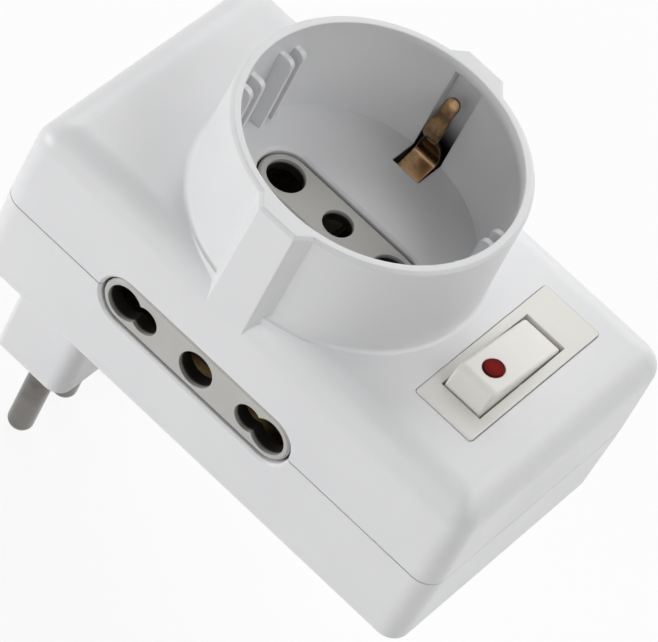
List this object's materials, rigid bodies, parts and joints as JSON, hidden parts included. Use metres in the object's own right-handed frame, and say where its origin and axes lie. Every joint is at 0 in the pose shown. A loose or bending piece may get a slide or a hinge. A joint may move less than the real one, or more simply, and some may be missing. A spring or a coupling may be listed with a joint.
{
  "type": "multi socket adapter",
  "caption": "Plug-in socket adapter: rectangular white housing, raised round earthed socket, keyhole sockets on its long sides, lit rocker switch, round-pin plug block underneath.",
  "frame": {"origin": "on the earth pin's axis, in the plug block's mating face", "axes": "+Z out of the round socket, away from the wall; +X along the housing towards the switch; +Y across it"},
  "size_m": [0.0783, 0.046, 0.0852],
  "materials": {
    "white_plastic": "satin white moulding",
    "grey_plastic": "fine matt light grey moulding",
    "cream_plastic": "satin ivory moulding",
    "red_lens": "polished translucent red",
    "lamp_glass": "clear glass",
    "resistor_body": "lacquered ceramic body",
    "spring_steel": "drawn wire",
    "screw_steel": "zinc plated",
    "spring_bronze": "rolled phosphor bronze",
    "brass_strip": "stamped brass strip",
    "nickel_pin": "nickel plated, turned"
  },
  "bodies": {
    "housing": {"front_cover": "white_plastic", "rear_cover": "white_plastic", "well_insert": "grey_plastic", "side_insert_front": "grey_plastic", "side_insert_rear": "grey_plastic", "switch_body": "cream_plastic", "case_screws": "screw_steel", "earth_clip_front": "spring_bronze", "earth_clip_rear": "spring_bronze", "line_busbar": "brass_strip", "neutral_busbar": "brass_strip", "earth_busbar": "brass_strip", "line_inlet_strip": "brass_strip", "switch_terminal_in": "brass_strip", "switch_terminal_out": "brass_strip", "switch_terminal_neutral": "brass_strip", "line_pin": "nickel_pin", "neutral_pin": "nickel_pin", "earth_pin": "nickel_pin"},
    "rocker": {"switch_rocker": "cream_plastic", "indicator_lens": "red_lens", "neon_lamp": "lamp_glass", "lamp_resistor": "resistor_body", "switch_plunger": "grey_plastic", "switch_spring": "spring_steel"},
    "contact": {"contact_lever": "brass_strip"}
  },
  "joints": [
    {"name": "rocker_hinge", "type": "hinge", "parent": "housing", "child": "rocker", "pos_m": [0.0528, 0, 0.04905], "axis": [1, 0, 0], "range_deg": [0, 24]},
    {"name": "contact_hinge", "type": "hinge", "parent": "housing", "child": "contact", "pos_m": [0.0528, 0, 0.04155], "axis": [1, 0, 0], "range_deg": [-12, 0]}
  ],
  "couplings": [
    {"joint": "contact_hinge", "follows": "rocker_hinge", "ratio": -0.5}
  ]
}
